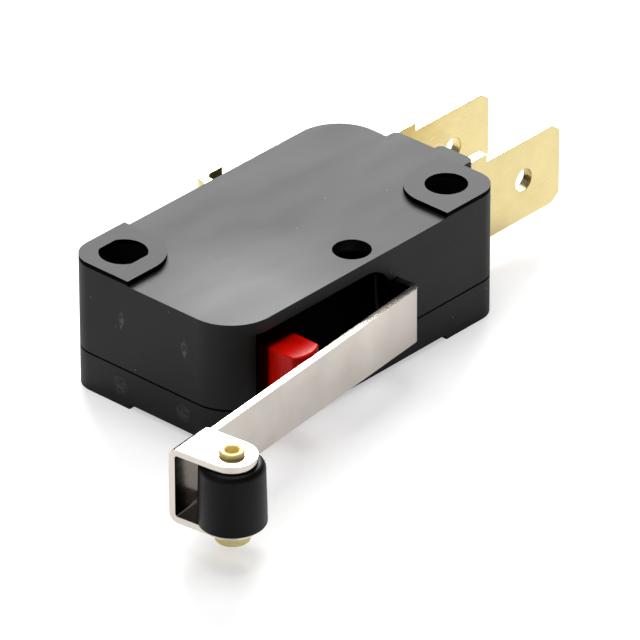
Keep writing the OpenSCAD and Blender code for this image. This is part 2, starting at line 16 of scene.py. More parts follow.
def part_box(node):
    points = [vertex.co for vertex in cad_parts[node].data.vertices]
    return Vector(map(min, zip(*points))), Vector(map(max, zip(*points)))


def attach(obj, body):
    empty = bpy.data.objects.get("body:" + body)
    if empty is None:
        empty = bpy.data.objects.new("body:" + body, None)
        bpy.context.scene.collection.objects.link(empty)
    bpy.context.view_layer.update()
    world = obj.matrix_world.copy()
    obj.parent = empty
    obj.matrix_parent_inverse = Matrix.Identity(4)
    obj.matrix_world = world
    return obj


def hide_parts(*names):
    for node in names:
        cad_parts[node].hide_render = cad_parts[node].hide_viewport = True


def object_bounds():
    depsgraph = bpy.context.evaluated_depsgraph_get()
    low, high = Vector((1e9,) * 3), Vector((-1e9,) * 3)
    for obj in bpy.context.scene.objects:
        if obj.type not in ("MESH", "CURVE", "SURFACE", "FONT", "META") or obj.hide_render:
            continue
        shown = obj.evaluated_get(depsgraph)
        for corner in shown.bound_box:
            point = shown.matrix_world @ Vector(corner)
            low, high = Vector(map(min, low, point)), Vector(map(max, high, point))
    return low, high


bl_info = {
    "name": "Lever micro switch looks",
    "version": (1, 0, 0),
    "blender": (4, 5, 0),
    "location": "View3D > Sidebar > Micro switch",
    "description": "Finishes for a snap-action switch with a roller lever, and a pale studio to show it in",
    "category": "Object",
}

MM = 0.001
ON_FACE = 0.01 * MM  # a point this near to a plane lies on it
MERGE_DISTANCE = 1e-7  # points this near to each other are one point
FLAT_ANGLE = math.radians(0.3)  # faces that meet at less than this are one flat face
SHARP_ANGLE = math.radians(30)  # edges where two faces meet at more than this are rounded
WHITE = (1.0, 1.0, 1.0, 1.0)
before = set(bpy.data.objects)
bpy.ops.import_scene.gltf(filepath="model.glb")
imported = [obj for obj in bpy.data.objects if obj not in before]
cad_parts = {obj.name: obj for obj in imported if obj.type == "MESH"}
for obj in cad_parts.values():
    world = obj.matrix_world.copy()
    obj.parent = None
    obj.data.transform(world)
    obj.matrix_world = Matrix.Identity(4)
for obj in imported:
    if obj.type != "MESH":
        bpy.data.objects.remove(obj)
CAD_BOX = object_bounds()
CASE_LOW, CASE_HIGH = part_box("case")
COVER_LOW, COVER_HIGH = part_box("cover")


# ---------------------------------------------------------------- colour and node helpers


def linear(hex_colour):
    """Turns an sRGB hex colour such as "c9c5bb" into a linear RGBA tuple."""
    srgb = np.array([int(hex_colour[i : i + 2], 16) for i in (0, 2, 4)]) / 255
    rgb = np.where(srgb <= 0.04045, srgb / 12.92, ((srgb + 0.055) / 1.055) ** 2.4)
    return (*rgb.tolist(), 1.0)


def times(colour, share):
    """A colour whose red, green and blue are multiplied by a share."""
    return (*(part * share for part in colour[:3]), 1.0)


def feed(tree, node, inputs):
    """Links each input of a node to a socket, or sets it to a plain value."""
    for key, value in inputs.items():
        if isinstance(value, bpy.types.NodeSocket):
            tree.links.new(value, node.inputs[key])
        else:
            node.inputs[key].default_value = value


def add_node(tree, kind, settings=None, inputs=None):
    """Adds one node, sets its properties, and sets or links its inputs."""
    node = tree.nodes.new(kind)
    for key, value in (settings or {}).items():
        setattr(node, key, value)
    feed(tree, node, inputs or {})
    return node


def empty_tree(owner):
    """The node tree of a material or world, with nothing in it."""
    owner.use_nodes = True
    owner.node_tree.nodes.clear()
    return owner.node_tree


def new_material(name, hex_colour):
    """A material, its node tree, its shader joined to the output, and object coordinates."""
    material = bpy.data.materials.new(name)
    material.diffuse_color = linear(hex_colour)
    tree = empty_tree(material)
    shader = add_node(tree, "ShaderNodeBsdfPrincipled")
    add_node(tree, "ShaderNodeOutputMaterial", inputs={"Surface": shader.outputs["BSDF"]})
    place = add_node(tree, "ShaderNodeTexCoord").outputs["Object"]
    return material, tree, shader, place


def axes(tree, vector):
    """The X, Y and Z of a vector."""
    return add_node(tree, "ShaderNodeSeparateXYZ", inputs={"Vector": vector}).outputs


def facing(tree):
    """The X, Y and Z of the direction that the surface faces."""
    return axes(tree, add_node(tree, "ShaderNodeNewGeometry").outputs["Normal"])


def join(tree, operation, first, *others):
    """Runs a Math operation such as MAXIMUM through two or more values in turn."""
    for value in others:
        first = add_node(tree, "ShaderNodeMath", {"operation": operation}, {0: first, 1: value}).outputs[0]
    return first


def vector_math(tree, operation, *vectors):
    """The number that a DISTANCE, DOT_PRODUCT or LENGTH gives, or the vector that another operation gives."""
    node = add_node(tree, "ShaderNodeVectorMath", {"operation": operation}, dict(enumerate(vectors)))
    return node.outputs["Value" if operation in ("DISTANCE", "DOT_PRODUCT", "LENGTH") else "Vector"]


def stretched(tree, place, scale):
    """Object coordinates stretched per axis, for a grain that runs one way."""
    return add_node(tree, "ShaderNodeMapping", inputs={"Vector": place, "Scale": scale}).outputs["Vector"]


def noise(tree, place, size_mm, detail=2.0, roughness=0.5):
    """Noise between 0 and 1 whose features are about size_mm across."""
    inputs = {"Vector": place, "Scale": 1 / (size_mm * MM), "Detail": detail, "Roughness": roughness}
    return add_node(tree, "ShaderNodeTexNoise", inputs=inputs).outputs["Fac"]


def spread(tree, value, low, high, out_low=0.0, out_high=1.0):
    """Carries a value from one range to another, held at the ends. Low may be the larger end."""
    inputs = {"Value": value, "From Min": low, "From Max": high, "To Min": out_low, "To Max": out_high}
    return add_node(tree, "ShaderNodeMapRange", inputs=inputs).outputs["Result"]


def blend_colours(tree, factor, first, second):
    """Mixes two colours by a factor."""
    inputs = {"Factor": factor, 6: first, 7: second}
    return add_node(tree, "ShaderNodeMix", {"data_type": "RGBA"}, inputs).outputs[2]


def bump(tree, height, depth_mm, strength):
    """Bump whose full height range stands for depth_mm of relief."""
    inputs = {"Height": height, "Distance": depth_mm * MM, "Strength": strength}
    return add_node(tree, "ShaderNodeBump", inputs=inputs).outputs["Normal"]


# ---------------------------------------------------------------- materials


def moulded_thermoset(look):
    """Glass-filled polyester moulding compound, moulded in a spark-eroded tool.

    The eroded field is a fine matt grain that scatters a lamp behind it into a wide pale sheen, while the
    seating bosses are rubbed flatter and stay darker. The sides are nearly black, with a few pale specks of
    dust and the scuffed witness marks of the tool's gates and ejector pins on the plunger end.
    """
    material, tree, shader, place = new_material("moulded_thermoset", look.housing_colour)
    height = axes(tree, place)["Z"]
    grain = noise(tree, place, 0.11, detail=3.0, roughness=0.6)
    base = linear(look.housing_colour)
    tone = blend_colours(tree, spread(tree, grain, 0.35, 0.75), base, times(base, 1.5))
    tone = blend_colours(tree, dust_and_scuffs(tree, place), tone, linear("6e6c68"))
    # painted shade: near black and without sheen on the bosses' steps, in the recess and along the seam
    painted_shade_mask = painted_shade(tree, place, height, look)
    inputs = {
        "Base Color": blend_colours(tree, painted_shade_mask, tone, linear("010101")),
        "Specular IOR Level": spread(tree, painted_shade_mask, 0.0, 1.0, look.housing_gloss, 0.01),
        "Roughness": moulded_roughness(tree, place, height, look),
        "Normal": bump(tree, grain, 0.006, strength=0.5),
    }
    feed(tree, shader, inputs)
    return material


def moulded_roughness(tree, place, height, look):
    """Smoothest at the plunger corner, rougher away from it, a little uneven, and roughest on the bosses."""
    boss_z, fade, boss_roughness = CASE_HIGH.z - look.boss_step / 2, 0.05 * MM, 0.555
    boss = spread(tree, height, boss_z - fade, boss_z + fade)
    corner = (CASE_LOW.x + 4 * MM, CASE_LOW.y + 2 * MM, CASE_HIGH.z)
    run = vector_math(tree, "DISTANCE", place, corner)
    worn = spread(tree, run, 3 * MM, 11 * MM, 0.455, 0.545)
    flow = noise(tree, stretched(tree, place, (0.35, 1.0, 0.6)), 2.6, roughness=0.45)
    uneven = spread(tree, flow, 0.3, 0.7, -0.015, 0.015)
    inputs = {"Factor": boss, 2: join(tree, "ADD", worn, uneven), 3: boss_roughness}
    return add_node(tree, "ShaderNodeMix", {"data_type": "FLOAT"}, inputs).outputs[0]


def dust_and_scuffs(tree, place):
    """Pale specks of dust all over, and the tool's witness marks broken up by a finer noise."""
    inputs = {"Vector": place, "Scale": 1 / (1.7 * MM), "Randomness": 1.0}
    speck = add_node(tree, "ShaderNodeTexVoronoi", inputs=inputs).outputs["Distance"]
    dust = spread(tree, speck, 0.035, 0.06, 0.5, 0.0)
    scuff = spread(tree, noise(tree, place, 0.3, detail=3.0, roughness=0.7), 0.45, 0.6, 0.15, 1.0)
    return join(tree, "MAXIMUM", join(tree, "MULTIPLY", witness_marks(tree, place), scuff), dust)


def witness_marks(tree, place):
    """Marks of the tool on the plunger end: two gate diamonds on the case, two ejector rounds on the cover.

    With x, y and z from a mark's middle in shares of its half sizes, a point's distance from it is
    |x| + |y| + |z| for a diamond and the length of (x, y, z) for a round.
    """
    half_x = 0.3
    marks = []
    for y, z, half_y, half_z, diamond in (
        (7.95, 6.95, 0.36, 0.85, True),
        (1.95, 7.05, 0.36, 0.85, True),
        (8.15, 1.6, 0.75, 0.75, False),
        (2.1, 1.8, 0.7, 0.7, False),
    ):
        inputs = {"Vector": place, "Location": (-CASE_LOW.x, -y * MM, -z * MM)}
        moved = add_node(tree, "ShaderNodeMapping", inputs=inputs).outputs["Vector"]
        shares = tuple(1 / (half * MM) for half in (half_x, half_y, half_z))
        sized = vector_math(tree, "MULTIPLY", moved, shares)
        if diamond:
            far = vector_math(tree, "DOT_PRODUCT", vector_math(tree, "ABSOLUTE", sized), (1.0, 1.0, 1.0))
        else:
            far = vector_math(tree, "LENGTH", sized)
        marks.append(spread(tree, far, 0.8, 1.05, 0.55 if diamond else 0.3, 0.0))
    return join(tree, "MAXIMUM", *marks)


def painted_shade(tree, place, height, look):
    """Painted shade: near black and without sheen on the bosses' steps, the walls inside the recess, and the
    seam.
    """
    steps, walls = boss_step_shade(tree, height, look), recess_wall_shade(tree, place, height, look)
    return join(tree, "MAXIMUM", steps, walls, seam_shade(tree, height, look))


def boss_step_shade(tree, height, look):
    """Painted shade on the upright faces between the case's field and its bosses' tops."""
    upright = spread(tree, facing(tree)["Z"], 0.75, 0.95, 1.0, 0.0)
    field = CASE_HIGH.z - look.boss_step
    return join(tree, "MULTIPLY", upright, spread(tree, height, field + 0.02 * MM, field + 0.07 * MM))


def recess_wall_shade(tree, place, height, look):
    """Painted shade on the walls of the front recess, from just behind its rim: a box that fades in from each
    side.
    """
    parts, front, field = axes(tree, place), CASE_LOW.y, CASE_HIGH.z - look.boss_step
    left = spread(tree, parts["X"], -23.2 * MM, -22.2 * MM)
    rim = spread(tree, parts["Y"], front + 0.02 * MM, front + 0.35 * MM)
    right = spread(tree, parts["X"], -7.9 * MM, -8.2 * MM)
    lip = spread(tree, height, field - 0.8 * MM, field - 1.0 * MM)
    back = spread(tree, parts["Y"], 1.0 * MM, 1.2 * MM, 1.0, 0.0)
    return join(tree, "MULTIPLY", left, rim, right, lip, back)


def seam_shade(tree, height, look):
    """Painted shade in the open seam between case and cover: |z - its middle| is less than half its gap."""
    half = look.seam_gap / 2
    off = join(tree, "SUBTRACT", height, COVER_HIGH.z - half)
    off = add_node(tree, "ShaderNodeMath", {"operation": "ABSOLUTE"}, {0: off}).outputs[0]
    return spread(tree, off, half + 0.01 * MM, half + 0.04 * MM, 1.0, 0.0)


def moulded_acetal(look):
    """Red acetal, injection moulded: a smooth satin skin with a little light under it.

    Shade is painted dark red on the stem from the housing's face inwards; the head outside stays bright.
    """
    material, tree, shader, place = new_material("moulded_acetal", look.plunger_colour)
    cloud = spread(tree, noise(tree, place, 1.2), 0.35, 0.7, 0.0, 0.6)
    skin = blend_colours(tree, cloud, linear(look.plunger_colour), linear("c80800"))
    # painted shade: the stem darkens from the housing's face inwards, into the recess
    painted_stem_shade = spread(tree, axes(tree, place)["Y"], CASE_LOW.y - 0.25 * MM, CASE_LOW.y + 0.1 * MM)
    inputs = {
        "Base Color": blend_colours(tree, painted_stem_shade, skin, linear("3c0200")),
        "Roughness": 0.24,
        "Specular IOR Level": 0.22,
        "Subsurface Weight": 0.15,
        "Subsurface Radius": (0.6, 0.05, 0.02),
        "Subsurface Scale": 0.4 * MM,
        "Normal": bump(tree, noise(tree, place, 0.12), 0.003, strength=0.4),
    }
    feed(tree, shader, inputs)
    return material


def rolled_stainless(look):
    """Rolled stainless strip: warm grey mirror with rolling lines along it.

    Painted shade darkens it towards the bend, its leg in the recess and the fork's web behind the roller.
    """
    material, tree, shader, place = new_material("rolled_stainless", look.lever_colour)
    parts = axes(tree, place)
    lines = noise(tree, stretched(tree, place, (0.06, 1.0, 1.0)), 0.16, detail=3.0, roughness=0.6)
    base = linear(look.lever_colour)
    tone = blend_colours(tree, spread(tree, noise(tree, place, 2.6), 0.3, 0.7), base, times(base, 0.88))
    # painted shade: darker towards the bend
    painted_bend_shade = spread(tree, parts["X"], -14 * MM, -8.4 * MM)
    tone = blend_colours(tree, painted_bend_shade, tone, times(base, 0.68))
    # painted shade on the fork's web where it faces the roller from behind
    tone = blend_colours(tree, painted_fork_web_shade(tree, parts), tone, linear("807870"))
    # painted shade: the leg inside the recess is near black
    painted_leg_shade = spread(tree, parts["Y"], CASE_LOW.y + 0.15 * MM, CASE_LOW.y + 0.4 * MM)
    inputs = {
        "Base Color": blend_colours(tree, painted_leg_shade, tone, linear("1a1816")),
        "Metallic": 1.0,
        "Roughness": spread(tree, lines, 0.3, 0.7, 0.13, 0.22),
        "Normal": bump(tree, lines, 0.004, strength=0.35),
    }
    feed(tree, shader, inputs)
    return material


def painted_fork_web_shade(tree, parts):
    """Painted shade on the face of the fork's web that looks at the roller from behind."""
    low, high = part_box("roller")
    middle = (low.y + high.y) / 2
    channel = spread(tree, parts["X"], high.x - 0.5 * MM, high.x, 1.0, 0.0)
    toward = spread(tree, facing(tree)["Y"], -0.95, -0.8, 1.0, 0.0)
    behind = spread(tree, parts["Y"], middle + 0.5 * MM, middle + 1.0 * MM)
    return join(tree, "MULTIPLY", channel, toward, behind)


def turned_nylon(look):
    """Black nylon roller: satin, with the faint rings that turning or a tool's parting leaves."""
    material, tree, shader, place = new_material("turned_nylon", look.roller_colour)
    rings = noise(tree, stretched(tree, place, (0.05, 0.05, 1.0)), 0.12)
    base = linear(look.roller_colour)
    inputs = {
        "Base Color": blend_colours(tree, spread(tree, rings, 0.4, 0.8), base, times(base, 1.6)),
        "Specular IOR Level": 0.14,
        "Roughness": spread(tree, rings, 0.3, 0.7, 0.36, 0.46),
        "Normal": bump(tree, rings, 0.003, strength=0.4),
    }
    feed(tree, shader, inputs)
    return material


def sheet_metal(name, hex_colour, dull_share, low_rough, high_rough):
    """Stamped sheet: clear metal with slow cloudy changes and fine scratches from the press."""
    material, tree, shader, place = new_material(name, hex_colour)
    cloud = noise(tree, place, 2.4, detail=3.0)
    scratch = noise(tree, stretched(tree, place, (0.1, 1.0, 0.8)), 0.11)
    base = linear(hex_colour)
    inputs = {
        "Base Color": blend_colours(tree, spread(tree, cloud, 0.3, 0.75), base, times(base, dull_share)),
        "Metallic": 1.0,
        "Roughness": spread(tree, scratch, 0.3, 0.7, low_rough, high_rough),
        "Normal": bump(tree, scratch, 0.003, strength=0.3),
    }
    feed(tree, shader, inputs)
    return material


def rolled_brass(look):
    """Pale brass rivet under a thin clear lacquer: soft, light, and only partly mirror-like."""
    material, tree, shader, place = new_material("rolled_brass", look.rivet_colour)
    cloud = spread(tree, noise(tree, place, 0.5), 0.35, 0.65)
    tint = blend_colours(tree, cloud, linear(look.rivet_colour), linear("fbdf70"))
    feed(tree, shader, {"Base Color": tint, "Metallic": 0.15, "Roughness": 0.45})
    return material


def pale_floor(studio):
    """White paper: matt, and lifted for what sees it straight or in a reflection, so that it reads white."""
    material = bpy.data.materials.new("white_paper")
    tree = empty_tree(material)
    path = add_node(tree, "ShaderNodeLightPath").outputs
    straight = join(tree, "MULTIPLY", path["Is Camera Ray"], studio.paper_lift)
    mirrored = join(tree, "MAXIMUM", path["Is Glossy Ray"], path["Is Transmission Ray"])
    inputs = {0: mirrored, 1: studio.mirror_lift, 2: straight}
    strength = add_node(tree, "ShaderNodeMath", {"operation": "MULTIPLY_ADD"}, inputs).outputs[0]
    paper = add_node(tree, "ShaderNodeBsdfDiffuse", inputs={"Color": linear("eaeaea")})
    lift = add_node(tree, "ShaderNodeEmission", inputs={"Color": WHITE, "Strength": strength})
    both = add_node(tree, "ShaderNodeAddShader", inputs={0: paper.outputs[0], 1: lift.outputs[0]})
    add_node(tree, "ShaderNodeOutputMaterial", inputs={"Surface": both.outputs[0]})
    return material


# ---------------------------------------------------------------- mesh helpers


def new_object(name, data):
    """Puts a mesh, lamp or camera into the scene, at the origin."""
    item = bpy.data.objects.new(name, data)
    bpy.context.scene.collection.objects.link(item)
    return item


def link(mesh, name, material):
    """Makes an object at the origin from a mesh, with one material."""
    mesh.materials.clear()
    mesh.materials.append(material)
    return new_object(name, mesh)


def smooth(mesh):
    """Marks every face smooth."""
    mesh.polygons.foreach_set("use_smooth", np.ones(len(mesh.polygons), bool))


def soft_edged(node, name, radius, material, segments=2, reshape=None, share=None, cut=None):
    """A copy of a CAD node whose sharp edges are rounded.

    The copy's loose triangles are merged and its flat faces are joined into single polygons. A cut adds
    points where the plane y = cut crosses it, and reshape moves its points. A bevel runs along every edge
    where two faces met at more than SHARP_ANGLE before that. Its width is the given radius times what share
    gives for the edge's middle.
    """
    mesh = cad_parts[node].data.copy()
    mesh.name = name
    work = bmesh.new()
    work.from_mesh(mesh)
    bmesh.ops.remove_doubles(work, verts=work.verts, dist=MERGE_DISTANCE)
    bmesh.ops.dissolve_limit(work, angle_limit=FLAT_ANGLE, verts=work.verts, edges=work.edges)
    if cut is not None:
        everything = [*work.verts, *work.edges, *work.faces]
        plane = {"plane_co": (0, cut, 0), "plane_no": (0, 1, 0)}
        bmesh.ops.bisect_plane(work, geom=everything, dist=MERGE_DISTANCE, **plane)
    work.to_mesh(mesh)
    work.free()
    if "custom_normal" in mesh.attributes:
        mesh.attributes.remove(mesh.attributes["custom_normal"])
    smooth(mesh)
    points = read(mesh.vertices, "co", 3)
    sharp = edge_angles(mesh) > SHARP_ANGLE
    if reshape is not None:
        points = reshape(points)
        mesh.vertices.foreach_set("co", points.ravel())
        mesh.update()
    weights = np.ones(len(sharp))
    if share is not None:
        weights = share(points[read(mesh.edges, "vertices", 2, int)].mean(axis=1))
    layer = mesh.attributes.new("bevel_weight_edge", "FLOAT", "EDGE")
    layer.data.foreach_set("value", (weights * sharp).astype(np.float32))
    piece = link(mesh, name, material)
    bevel = piece.modifiers.new("edges", "BEVEL")
    bevel.width = radius
    bevel.segments = segments
    bevel.limit_method = "WEIGHT"
    bevel.harden_normals = True
    return piece


def read(items, key, width, kind=float):
    """One property of every item of a mesh, as an array with width columns."""
    values = np.empty(len(items) * width, kind)
    items.foreach_get(key, values)
    return values.reshape(-1, width)


def edge_angles(mesh):
    """The angle between the two faces that meet at each edge of a closed mesh: acos(n1 . n2)."""
    face = np.repeat(np.arange(len(mesh.polygons)), read(mesh.polygons, "loop_total", 1, int).ravel())
    order = np.argsort(read(mesh.loops, "edge_index", 1, int).ravel(), kind="stable")
    first, second = read(mesh.polygons, "normal", 3)[face[order].reshape(-1, 2).T]
    return np.arccos(np.clip((first * second).sum(axis=1), -1, 1))


def revolve(name, profile, centre, material, steps=128):
    """A surface of revolution about a vertical axis.

    The closed profile gives (radius, height) pairs; point i at angle a is
    (cx + r_i cos a, cy + r_i sin a, z_i), for a from 0 to a full turn.
    """
    radius, height = np.asarray(profile, float).T
    angle = np.linspace(0, 2 * np.pi, steps, endpoint=False)
    points = np.stack(
        [
            centre[0] + np.outer(np.cos(angle), radius),
            centre[1] + np.outer(np.sin(angle), radius),
            np.broadcast_to(height, (steps, len(height))),
        ],
        axis=-1,
    )
    return link(closed_grid(name, points), name, material)


def closed_grid(name, points):
    """A mesh from a grid of points that closes on itself both ways.

    Each face joins the points (i, j), (i + 1, j), (i + 1, j + 1) and (i, j + 1).
    """
    rows, columns = points.shape[:2]
    index = np.arange(rows * columns).reshape(rows, columns)
    next_row = np.roll(index, -1, axis=0)
    faces = np.stack([index, next_row, np.roll(next_row, -1, axis=1), np.roll(index, -1, axis=1)], axis=-1)
    mesh = bpy.data.meshes.new(name)
    mesh.from_pydata(points.reshape(-1, 3).tolist(), [], faces.reshape(-1, 4).tolist())
    smooth(mesh)
    return mesh


def arc(centre, radius, start, end, count):
    """Points c + r (cos a, sin a) of a circular arc, for an angle a from start to end in degrees."""
    angle = np.radians(np.linspace(start, end, count))
    return np.stack([centre[0] + radius * np.cos(angle), centre[1] + radius * np.sin(angle)], axis=-1)


def middle_xy(low, high):
    """The middle of a box, seen from above."""
    return (low.x + high.x) / 2, (low.y + high.y) / 2


def direction(azimuth, elevation):
    """The unit vector (sin a cos e, -cos a cos e, sin e), for an azimuth a and an elevation e."""
    level = math.cos(elevation)
    return Vector((math.sin(azimuth) * level, -math.cos(azimuth) * level, math.sin(elevation)))


# ---------------------------------------------------------------- properties


class SwitchLook(bpy.types.PropertyGroup):
    """Finishes of the switch."""

    housing_colour: bpy.props.StringProperty(
        name="Housing", description="Moulding colour, as sRGB hex", default="0f0f10"
    )
    housing_gloss: bpy.props.FloatProperty(
        name="Housing gloss",
        description="Specular level of the moulding compound",
        default=0.25,
        min=0,
        max=1,
        subtype="FACTOR",
    )
    plunger_colour: bpy.props.StringProperty(
        name="Plunger", description="Plunger colour, as sRGB hex", default="f41000"
    )
    lever_colour: bpy.props.StringProperty(
        name="Lever", description="Stainless strip colour, as sRGB hex", default="dad2c9"
    )
    roller_colour: bpy.props.StringProperty(
        name="Roller", description="Roller colour, as sRGB hex", default="0a0a0a"
    )
    blade_colour: bpy.props.StringProperty(
        name="Blades", description="Blade terminal colour, as sRGB hex", default="e0cf97"
    )
    rivet_colour: bpy.props.StringProperty(
        name="Rivet", description="Roller pin colour, as sRGB hex", default="fff3b4"
    )
    boss_step: bpy.props.FloatProperty(
        name="Boss step",
        description="Height of the seating bosses over the field",
        default=0.4 * MM,
        subtype="DISTANCE",
    )
    moulded_edge: bpy.props.FloatProperty(
        name="Moulded edge",
        description="Radius of the housing's outer edges",
        default=0.12 * MM,
        subtype="DISTANCE",
    )
    boss_edge: bpy.props.FloatProperty(
        name="Boss edge",
        description="Radius of the bosses' outer top edges",
        default=0.4 * MM,
        subtype="DISTANCE",
    )
    seam_gap: bpy.props.FloatProperty(
        name="Seam",
        description="Opening of the seam between case and cover",
        default=0.1 * MM,
        subtype="DISTANCE",
    )
    seam_share: bpy.props.FloatProperty(
        name="Seam edge",
        description="Rounding of the seam's edges, as a share of the moulded edge",
        default=0.3,
        min=0,
        max=1,
        subtype="FACTOR",
    )
    lever_angle: bpy.props.FloatProperty(
        name="Lever angle",
        description="Lean of the free lever from the housing's face",
        default=math.radians(6.3),
        subtype="ANGLE",
    )
    cad_ear: bpy.props.FloatProperty(
        name="Ear before trimming",
        description="Radius of the fork's ears as built",
        default=1.9 * MM,
        subtype="DISTANCE",
    )
    ear_radius: bpy.props.FloatProperty(
        name="Ear radius",
        description="Radius of the fork's ears about the pin",
        default=1.78 * MM,
        subtype="DISTANCE",
    )
    ear_raise: bpy.props.FloatProperty(
        name="Ear raise",
        description="How far the lower ear sits above its built place",
        default=0.2 * MM,
        subtype="DISTANCE",
    )
    rivet_head_low: bpy.props.FloatProperty(
        name="Pin head",
        description="Height of the pin head's lower face",
        default=1.475 * MM,
        subtype="DISTANCE",
    )
    shoulder_more: bpy.props.FloatProperty(
        name="Shoulder",
        description="How much wider the common blade's shoulder is on each edge",
        default=0.6 * MM,
        subtype="DISTANCE",
    )
    shoulder_end: bpy.props.FloatProperty(
        name="Shoulder end",
        description="Where along X the common blade's shoulder ends",
        default=-7.85 * MM,
        subtype="DISTANCE",
    )
    plunger_edge: bpy.props.FloatProperty(
        name="Plunger edge",
        description="Radius of the plunger's edges",
        default=0.16 * MM,
        subtype="DISTANCE",
    )
    sheared_edge: bpy.props.FloatProperty(
        name="Sheared edge",
        description="Radius of the stamped parts' edges",
        default=0.05 * MM,
        subtype="DISTANCE",
    )


class StudioLook(bpy.types.PropertyGroup):
    """Camera and light of the studio."""

    azimuth: bpy.props.FloatProperty(
        name="Azimuth",
        description="Direction of the camera, 0 looks along +Y",
        default=math.radians(-47.6165),
        subtype="ANGLE",
    )
    elevation: bpy.props.FloatProperty(
        name="Elevation",
        description="Height of the camera over the horizon",
        default=math.radians(30.5528),
        subtype="ANGLE",
    )
    distance: bpy.props.FloatProperty(
        name="Distance",
        description="Distance from the camera to its target",
        default=600 * MM,
        subtype="DISTANCE",
    )
    target: bpy.props.FloatVectorProperty(
        name="Target",
        description="Point that the camera looks at",
        default=(-4.104 * MM, 8.336 * MM, -2.355 * MM),
        subtype="XYZ",
    )
    roll: bpy.props.FloatProperty(
        name="Roll",
        description="Turn of the camera about its own axis",
        default=math.radians(-0.145),
        subtype="ANGLE",
    )
    lens: bpy.props.FloatProperty(
        name="Lens",
        description="Focal length on the sensor of a full-frame camera",
        default=472.14,
        subtype="DISTANCE_CAMERA",
    )
    ambient: bpy.props.FloatProperty(
        name="Ambient", description="Strength of the even light all round", default=0.12, min=0
    )
    paper_lift: bpy.props.FloatProperty(
        name="Paper lift",
        description="How much brighter the paper looks than its own light makes it",
        default=0.5,
        min=0,
    )
    mirror_lift: bpy.props.FloatProperty(
        name="Mirror lift", description="How much brighter the paper looks in reflections", default=0.2, min=0
    )


# ---------------------------------------------------------------- operators


class MICRO_SWITCH_OT_housing(bpy.types.Operator):
    """Dress the case and the cover as satin black mouldings with soft edges"""

    bl_idname = "micro_switch.housing"
    bl_label = "Housing"

    def execute(self, context):
        look = context.scene.switch_look
        finish = moulded_thermoset(look)
        case = soft_edged("case", "case_moulding", look.boss_edge, finish, 3, share=self.case_share)
        changes = {"reshape": self.open_seam, "share": self.cover_share}
        cover = soft_edged("cover", "cover_moulding", look.moulded_edge, finish, **changes)
        for shell, node in ((case, "case"), (cover, "cover")):
            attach(shell, "housing")
            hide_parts(node)
        return {"FINISHED"}

    def case_share(self, middle):
        """Bevel shares on the case: full on the bosses' outer top edges, thin along the seam.

        From a mounting hole, dx and dy run outwards to the case's corner. A boss's outer edge is where the
        larger of them reaches the case's side, or where both have passed the start of its rounded corner.
        """
        look = bpy.context.scene.switch_look
        reach, side, corner = 6 * MM, 2.78 * MM, 0.8 * MM
        x, y, z = middle.T
        outer = np.zeros(len(x), bool)
        for hole_x, hole_y, way in ((0.0, 0.0, 1.0), (-22.2 * MM, 10.3 * MM, -1.0)):
            dx, dy = way * (x - hole_x), way * (hole_y - y)
            edge = (np.maximum(dx, dy) > side) | (np.minimum(dx, dy) > corner)
            outer |= (np.hypot(dx, dy) < reach) & edge & (z > CASE_HIGH.z - ON_FACE)
        plain = look.moulded_edge / look.boss_edge
        share = np.where(outer, 1.0, plain)
        return np.where(z < CASE_LOW.z + ON_FACE, plain * look.seam_share, share)

    def cover_share(self, middle):
        """Bevel shares on the cover: thin along the seam, full elsewhere."""
        look = bpy.context.scene.switch_look
        return np.where(middle[:, 2] > COVER_HIGH.z - 2 * look.seam_gap, look.seam_share, 1.0)

    def open_seam(self, points):
        """Lowers the cover's upper outline, so that the seam stays open as a fine dark line.

        The outline is each point of the upper face that stands right above one of the lower face. Such
        points have the same key, which is x + row y with both in whole microns.
        """
        gap = bpy.context.scene.switch_look.seam_gap
        micron, row = 0.001 * MM, 1e6
        key = np.round(points[:, :2] / micron) @ np.array([1.0, row])
        foot = key[points[:, 2] < COVER_LOW.z + ON_FACE]
        rim = (points[:, 2] > COVER_HIGH.z - ON_FACE) & np.isin(key, foot)
        points[rim, 2] -= gap
        return points


class MICRO_SWITCH_OT_plunger(bpy.types.Operator):
    """Dress the plunger as a red moulding with rounded edges"""

    bl_idname = "micro_switch.plunger"
    bl_label = "Plunger"

    def execute(self, context):
        look = context.scene.switch_look
        button = soft_edged("plunger", "plunger_moulding", look.plunger_edge, moulded_acetal(look), 3)
        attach(button, "plunger")
        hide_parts("plunger")
        return {"FINISHED"}


class MICRO_SWITCH_OT_lever(bpy.types.Operator):
    """Dress the lever as rolled stainless strip with sheared edges"""

    bl_idname = "micro_switch.lever"
    bl_label = "Lever"

    def execute(self, context):
        look = context.scene.switch_look
        steel = rolled_stainless(look)
        strip = soft_edged("lever", "lever_strip", look.sheared_edge, steel, reshape=self.trim_fork)
        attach(strip, "lever")
        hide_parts("lever")
        return {"FINISHED"}

    def trim_fork(self, points):
        """Brings the ears to their real radius about the pin, and the lower ear up under the roller.

        With u along the strip and w across it from the pin's axis, a point outside the hole's rim moves to
        (s u, s w) on the open side and (s u, w) on the strip's side, where s = ear radius / CAD radius.
        """
        look = bpy.context.scene.switch_look
        margin, hole_rim, lower_ear_top = 0.05 * MM, 1.2 * MM, 3 * MM
        centre = np.array(middle_xy(*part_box("roller_pin")))
        turn = look.lever_angle
        along = np.array([-math.cos(turn), -math.sin(turn)])
        inward = np.array([-math.sin(turn), math.cos(turn)])
        u, w = (points[:, :2] - centre) @ along, (points[:, :2] - centre) @ inward
        ears = (np.abs(u) < look.cad_ear + margin) & (np.hypot(u, w) > hole_rim)
        under = (points[:, 2] < lower_ear_top) & (u > -look.cad_ear - margin)
        scale = look.ear_radius / look.cad_ear
        u = np.where(ears, u * scale, u)
        w = np.where(ears & (w < 0), w * scale, w)
        points[:, :2] = centre + np.outer(u, along) + np.outer(w, inward)
        points[under, 2] += look.ear_raise
        return points


